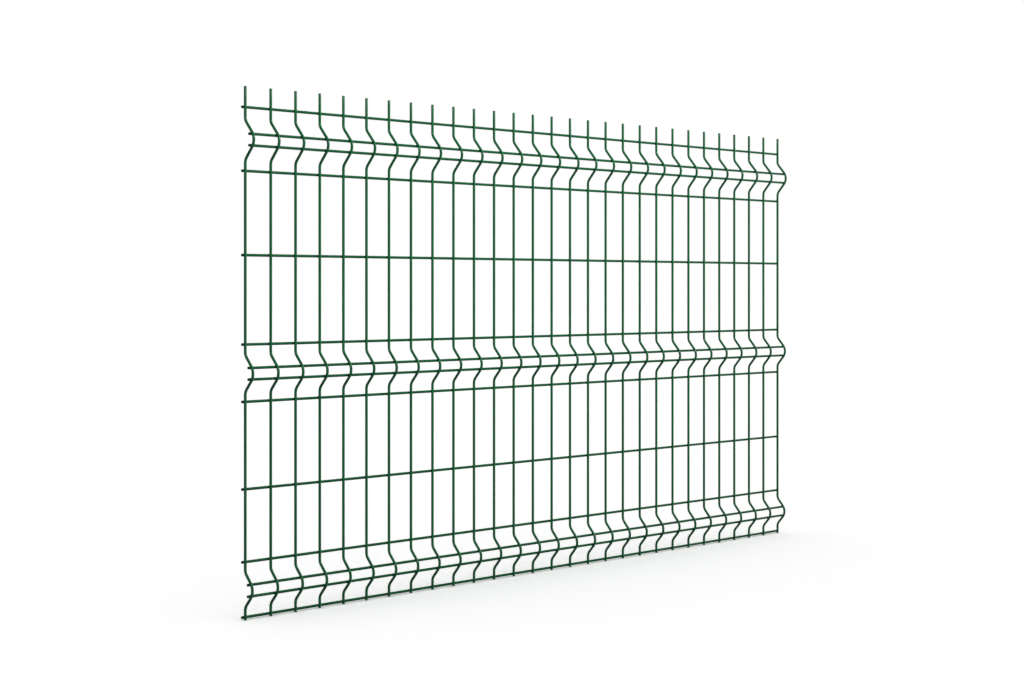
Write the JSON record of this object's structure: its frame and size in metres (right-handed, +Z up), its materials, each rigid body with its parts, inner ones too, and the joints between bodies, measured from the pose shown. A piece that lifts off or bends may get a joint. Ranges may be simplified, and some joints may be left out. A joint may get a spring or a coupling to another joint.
{
  "type": "welded mesh fence panel",
  "caption": "Rigid welded wire mesh fence panel with stiffening folds across it, to be clipped to posts at its two upright ends.",
  "frame": {"origin": "centre of the cut lower end of the middle upright wire", "axes": "+X along the panel, +Z up, and -Y the side to which the folds stand out; the cross wires lie on the +Y side of the upright wires"},
  "size_m": [2.11, 0.0446, 1.228],
  "materials": {
    "upright_wire_coating": "dark moss green plastic coat fused on galvanised steel wire, glossy",
    "cross_wire_coating": "dark moss green plastic coat fused on galvanised steel wire, glossy"
  },
  "bodies": {
    "root": {"upright_wire_01": "upright_wire_coating", "upright_wire_02": "upright_wire_coating", "upright_wire_03": "upright_wire_coating", "upright_wire_04": "upright_wire_coating", "upright_wire_05": "upright_wire_coating", "upright_wire_06": "upright_wire_coating", "upright_wire_07": "upright_wire_coating", "upright_wire_08": "upright_wire_coating", "upright_wire_09": "upright_wire_coating", "upright_wire_10": "upright_wire_coating", "upright_wire_11": "upright_wire_coating", "upright_wire_12": "upright_wire_coating", "upright_wire_13": "upright_wire_coating", "upright_wire_14": "upright_wire_coating", "upright_wire_15": "upright_wire_coating", "upright_wire_16": "upright_wire_coating", "upright_wire_17": "upright_wire_coating", "upright_wire_18": "upright_wire_coating", "upright_wire_19": "upright_wire_coating", "upright_wire_20": "upright_wire_coating", "upright_wire_21": "upright_wire_coating", "upright_wire_22": "upright_wire_coating", "upright_wire_23": "upright_wire_coating", "upright_wire_24": "upright_wire_coating", "upright_wire_25": "upright_wire_coating", "upright_wire_26": "upright_wire_coating", "upright_wire_27": "upright_wire_coating", "upright_wire_28": "upright_wire_coating", "upright_wire_29": "upright_wire_coating", "above_lower_fold_wire": "cross_wire_coating", "above_middle_fold_wire": "cross_wire_coating", "below_middle_fold_wire": "cross_wire_coating", "below_upper_fold_wire": "cross_wire_coating", "bottom_wire": "cross_wire_coating", "lower_fold_lower_wire": "cross_wire_coating", "lower_fold_upper_wire": "cross_wire_coating", "lower_mesh_wire": "cross_wire_coating", "middle_fold_lower_wire": "cross_wire_coating", "middle_fold_upper_wire": "cross_wire_coating", "top_wire": "cross_wire_coating", "upper_fold_lower_wire": "cross_wire_coating", "upper_fold_upper_wire": "cross_wire_coating", "upper_mesh_wire": "cross_wire_coating"}
  },
  "joints": []
}
